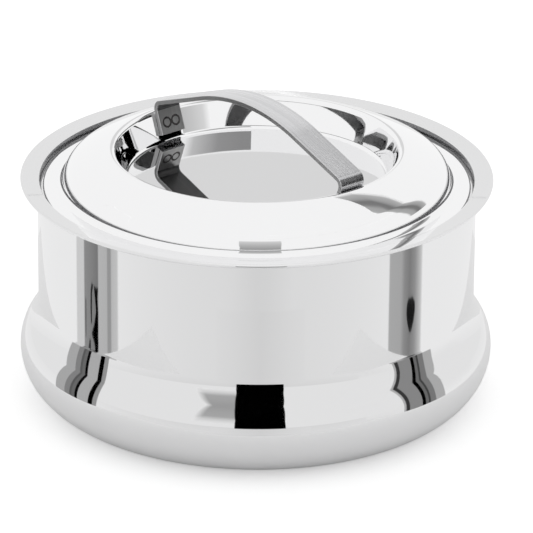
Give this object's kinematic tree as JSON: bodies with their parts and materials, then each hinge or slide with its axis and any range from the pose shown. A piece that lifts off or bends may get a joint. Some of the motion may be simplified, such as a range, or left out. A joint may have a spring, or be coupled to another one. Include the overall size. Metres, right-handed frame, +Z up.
{
  "type": "insulated casserole",
  "caption": "Round double-walled steel casserole with a bulged foot, flared rim and lift-off lid with a strap handle arched over its recess; keeps flatbread warm.",
  "frame": {"origin": "centre of the underside, on the plane that it stands on", "axes": "+Z up along the bowl's axis, +X along the handle strap, Y across the strap"},
  "size_m": [0.2316, 0.2316, 0.152],
  "materials": {
    "mirror_steel": "mirror-polished stainless steel",
    "pressed_steel": "bright pressed stainless steel with a faint turned grain",
    "satin_steel": "satin stainless steel, brushed along its length",
    "foam": "rigid polyurethane foam",
    "stopper": "fine matte grey plastic"
  },
  "bodies": {
    "body": {"outer_shell": "mirror_steel", "base_plate": "pressed_steel", "base_plug": "stopper", "body_insulation": "foam", "inner_bowl": "mirror_steel"},
    "lid": {"lid_cover": "mirror_steel", "lid_insulation": "foam", "lid_liner": "pressed_steel", "lid_plug": "stopper", "handle_strap": "satin_steel", "handle_welds": "satin_steel"}
  },
  "joints": [
    {"name": "lid_lift", "type": "slide", "parent": "body", "child": "lid", "axis": [0, 0, 1], "range_m": [0, 0.12]}
  ]
}
